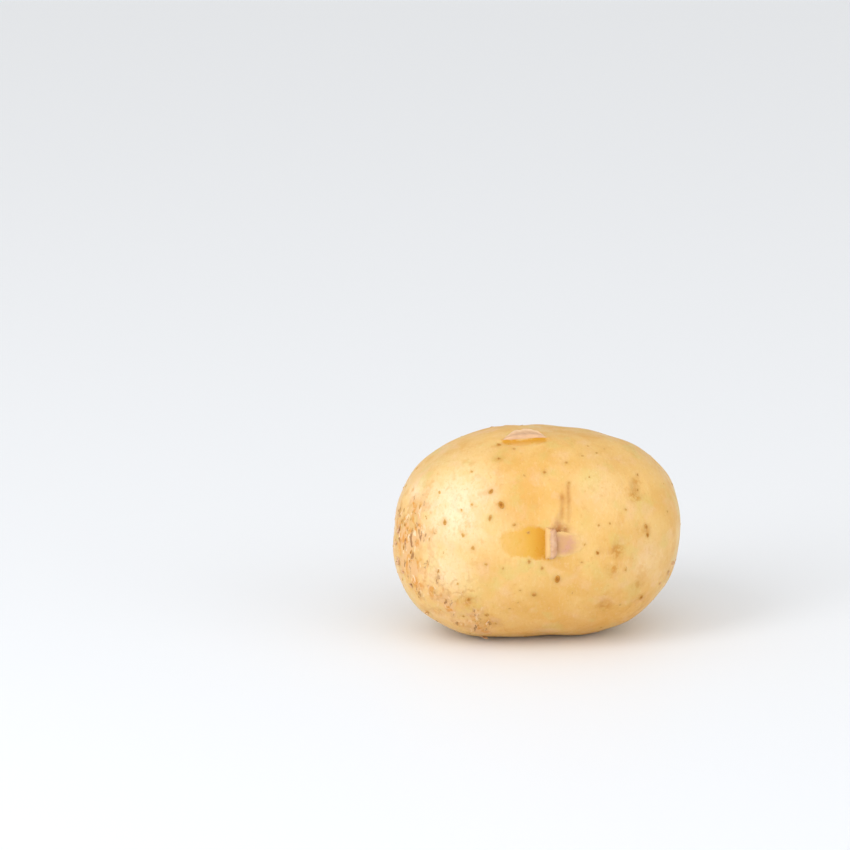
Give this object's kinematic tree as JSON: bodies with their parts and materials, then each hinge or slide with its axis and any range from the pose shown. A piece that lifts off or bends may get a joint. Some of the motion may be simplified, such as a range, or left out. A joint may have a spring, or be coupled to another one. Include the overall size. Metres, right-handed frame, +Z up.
{
  "type": "potato",
  "caption": "Yellow-skinned oval potato lying on its side, with shallow eyes, skin specks, a stem scar and curls of torn skin over bare flesh.",
  "frame": {"origin": "centre of the bounding box in X and Y, on the plane of the flat spot that the potato rests on", "axes": "+X along the potato's length towards its bud end, -Y the side seen in the picture, +Z up"},
  "size_m": [0.0798, 0.0616, 0.0584],
  "materials": {
    "potato_skin": "satin"
  },
  "bodies": {
    "root": {"potato": "potato_skin"}
  },
  "joints": []
}
